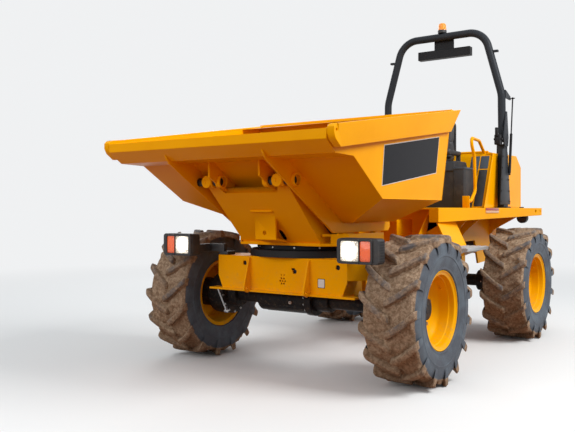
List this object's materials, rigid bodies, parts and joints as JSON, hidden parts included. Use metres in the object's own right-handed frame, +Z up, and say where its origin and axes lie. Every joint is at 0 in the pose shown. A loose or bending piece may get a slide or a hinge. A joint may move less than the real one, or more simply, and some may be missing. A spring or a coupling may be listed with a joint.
{
  "type": "site dumper",
  "caption": "Articulated four-wheel site dumper with an open swivelling, forward-tipping skip, a driver's platform and a folding roll frame.",
  "frame": {"origin": "on the ground under the middle of the machine's length and width", "axes": "+Z up, +Y towards the rear (the machine faces -Y), +X to the machine's left"},
  "size_m": [2.37, 4.47, 3.2533],
  "materials": {
    "yellow_paint": "gloss",
    "rim_paint": "satin",
    "black_paint": "satin",
    "dark_grey_paint": "satin",
    "cowl_panel": "satin",
    "tyre": "worn",
    "rod_chrome": "polished",
    "pin_steel": "satin",
    "galvanised": "satin",
    "engine_iron": "matte",
    "black_plastic": "matte",
    "clear_lens": "clear",
    "orange_lens": "gloss",
    "amber_lens": "gloss",
    "seat_cover": "matte"
  },
  "bodies": {
    "rear_chassis": {"rear_frame": "yellow_paint", "platform": "yellow_paint", "steps": "galvanised", "side_tanks": "black_paint", "rear_axle": "black_paint", "engine_block": "engine_iron", "engine_cowl": "cowl_panel", "rear_grille": "black_paint", "seat_base": "black_plastic", "seat": "seat_cover", "steering_console": "black_plastic", "grab_rails": "yellow_paint", "rops_posts": "dark_grey_paint", "tail_lamps": "black_plastic"},
    "engine_lid": {"engine_cover": "yellow_paint"},
    "front_chassis": {"front_frame": "yellow_paint", "front_axle": "black_paint", "slew_ring": "black_paint", "headlamps": "black_plastic", "headlamp_lenses": "clear_lens", "indicator_lenses": "orange_lens"},
    "swivel": {"swivel_frame": "yellow_paint", "tip_pins": "pin_steel"},
    "skip": {"skip_tub": "yellow_paint", "skip_rim": "yellow_paint", "skip_ribs": "yellow_paint"},
    "tip_barrel": {"tip_ram_barrel": "black_paint"},
    "tip_rod": {"tip_ram_rod": "rod_chrome"},
    "steer_left_barrel": {"steer_ram_left_barrel": "black_paint"},
    "steer_left_rod": {"steer_ram_left_rod": "rod_chrome"},
    "steer_right_barrel": {"steer_ram_right_barrel": "black_paint"},
    "steer_right_rod": {"steer_ram_right_rod": "rod_chrome"},
    "roll_frame": {"rops_hoop": "dark_grey_paint", "beacon_base": "black_plastic", "beacon_lens": "amber_lens", "lamp_board": "black_paint"},
    "strut_barrel": {"rops_strut_barrel": "black_paint"},
    "strut_rod": {"rops_strut_rod": "black_paint"},
    "wheel_front_left": {"tyre_front_left": "tyre", "rim_front_left": "rim_paint"},
    "wheel_front_right": {"tyre_front_right": "tyre", "rim_front_right": "rim_paint"},
    "wheel_rear_left": {"tyre_rear_left": "tyre", "rim_rear_left": "rim_paint"},
    "wheel_rear_right": {"tyre_rear_right": "tyre", "rim_rear_right": "rim_paint"}
  },
  "joints": [
    {"name": "steer", "type": "hinge", "parent": "rear_chassis", "child": "front_chassis", "pos_m": [0, 0.025, 0.6], "axis": [0, 0, 1], "range_deg": [-33, 33]},
    {"name": "slew", "type": "hinge", "parent": "front_chassis", "child": "swivel", "pos_m": [0, -0.985, 0.91], "axis": [0, 0, 1], "range_deg": [-90, 90]},
    {"name": "tip", "type": "hinge", "parent": "swivel", "child": "skip", "pos_m": [0, -1.83, 1.418], "axis": [1, 0, 0], "range_deg": [0, 65]},
    {"name": "tip_ram_swing", "type": "hinge", "parent": "swivel", "child": "tip_barrel", "pos_m": [0, -1.355, 1.04], "axis": [1, 0, 0], "range_deg": [-0.5, 73.28]},
    {"name": "tip_ram_slide", "type": "slide", "parent": "tip_barrel", "child": "tip_rod", "axis": [0, 0.9997, 0.0244], "range_m": [-0.002, 0.6372]},
    {"name": "roll_frame_fold", "type": "hinge", "parent": "rear_chassis", "child": "roll_frame", "pos_m": [0, 1.655, 1.96], "axis": [-1, 0, 0], "range_deg": [0, 90]},
    {"name": "strut_swing", "type": "hinge", "parent": "rear_chassis", "child": "strut_barrel", "pos_m": [0.725, 1.695, 1.59], "axis": [-1, 0, 0], "range_deg": [-0.5, 53.04]},
    {"name": "strut_slide", "type": "slide", "parent": "strut_barrel", "child": "strut_rod", "axis": [0, 0.1301, 0.9915], "range_m": [-0.3586, 0.002]},
    {"name": "cover_lift", "type": "hinge", "parent": "rear_chassis", "child": "engine_lid", "pos_m": [0, 1.485, 1.814], "axis": [1, 0, 0], "range_deg": [0, 55]},
    {"name": "steer_ram_left_swing", "type": "hinge", "parent": "rear_chassis", "child": "steer_left_barrel", "pos_m": [0.3, 0.395, 0.6], "axis": [0, 0, 1], "range_deg": [-16.87, 16.87]},
    {"name": "steer_ram_left_slide", "type": "slide", "parent": "steer_left_barrel", "child": "steer_left_rod", "axis": [-0.0267, -0.9996, 0], "range_m": [-0.1667, 0.1667]},
    {"name": "steer_ram_right_swing", "type": "hinge", "parent": "rear_chassis", "child": "steer_right_barrel", "pos_m": [-0.3, 0.395, 0.6], "axis": [0, 0, 1], "range_deg": [-16.87, 16.87]},
    {"name": "steer_ram_right_slide", "type": "slide", "parent": "steer_right_barrel", "child": "steer_right_rod", "axis": [0.0267, -0.9996, 0], "range_m": [-0.1667, 0.1667]},
    {"name": "wheel_front_left_spin", "type": "hinge", "parent": "front_chassis", "child": "wheel_front_left", "pos_m": [0.9825, -1.105, 0.525], "axis": [1, 0, 0], "continuous": true},
    {"name": "wheel_front_right_spin", "type": "hinge", "parent": "front_chassis", "child": "wheel_front_right", "pos_m": [-0.9825, -1.105, 0.525], "axis": [1, 0, 0], "continuous": true},
    {"name": "wheel_rear_left_spin", "type": "hinge", "parent": "rear_chassis", "child": "wheel_rear_left", "pos_m": [0.9825, 1.159, 0.525], "axis": [1, 0, 0], "continuous": true},
    {"name": "wheel_rear_right_spin", "type": "hinge", "parent": "rear_chassis", "child": "wheel_rear_right", "pos_m": [-0.9825, 1.159, 0.525], "axis": [1, 0, 0], "continuous": true}
  ],
  "couplings": [
    {"joint": "tip_ram_swing", "follows": "tip", "ratio": 1.1198},
    {"joint": "tip_ram_slide", "follows": "tip", "m_per_rad": 0.55995},
    {"joint": "steer_ram_left_swing", "follows": "steer", "ratio": 0.49605},
    {"joint": "steer_ram_left_slide", "follows": "steer", "m_per_rad": -0.28604},
    {"joint": "steer_ram_right_swing", "follows": "steer", "ratio": 0.49605},
    {"joint": "steer_ram_right_slide", "follows": "steer", "m_per_rad": 0.28604},
    {"joint": "strut_swing", "follows": "roll_frame_fold", "ratio": 0.58379},
    {"joint": "strut_slide", "follows": "roll_frame_fold", "m_per_rad": -0.22703}
  ]
}
